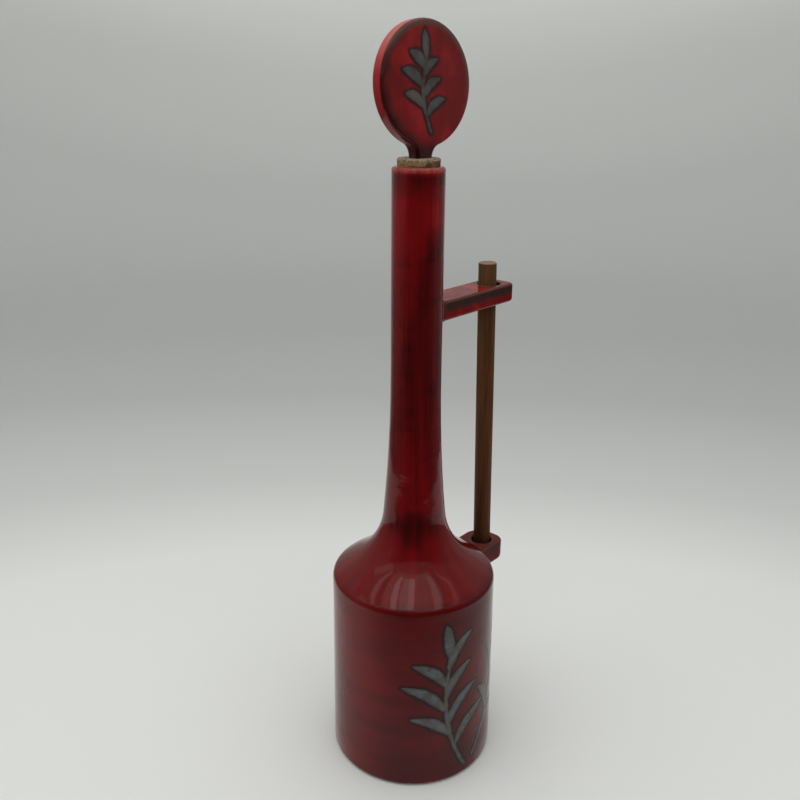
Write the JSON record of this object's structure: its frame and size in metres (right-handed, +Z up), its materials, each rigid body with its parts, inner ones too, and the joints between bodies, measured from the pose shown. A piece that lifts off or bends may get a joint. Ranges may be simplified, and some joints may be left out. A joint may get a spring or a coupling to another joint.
{
  "type": "ceramic bottle",
  "caption": "Round glazed bottle with a tall narrow neck, a disc-headed cork stopper, and a wooden rod held between side lugs as a carrying handle.",
  "frame": {"origin": "centre of the bottle's flat base, on the surface it stands on", "axes": "+Z up along the bottle's neck, +X from the neck to the lugs and the wooden rod, -Y out of the decorated face of the stopper's disc"},
  "size_m": [0.1203, 0.092, 0.3946],
  "materials": {
    "bottle_glaze": "glossy deep red glaze, mottled and streaked with near-black",
    "stopper_glaze": "glossy deep red glaze, dark where it breaks on the edges",
    "cork": "matt cork bark, stained",
    "dowel_wood": "dark stained hardwood, fine straight grain"
  },
  "bodies": {
    "root": {"bottle": "bottle_glaze", "cork": "cork", "stopper_head": "stopper_glaze", "dowel": "dowel_wood"}
  },
  "joints": []
}
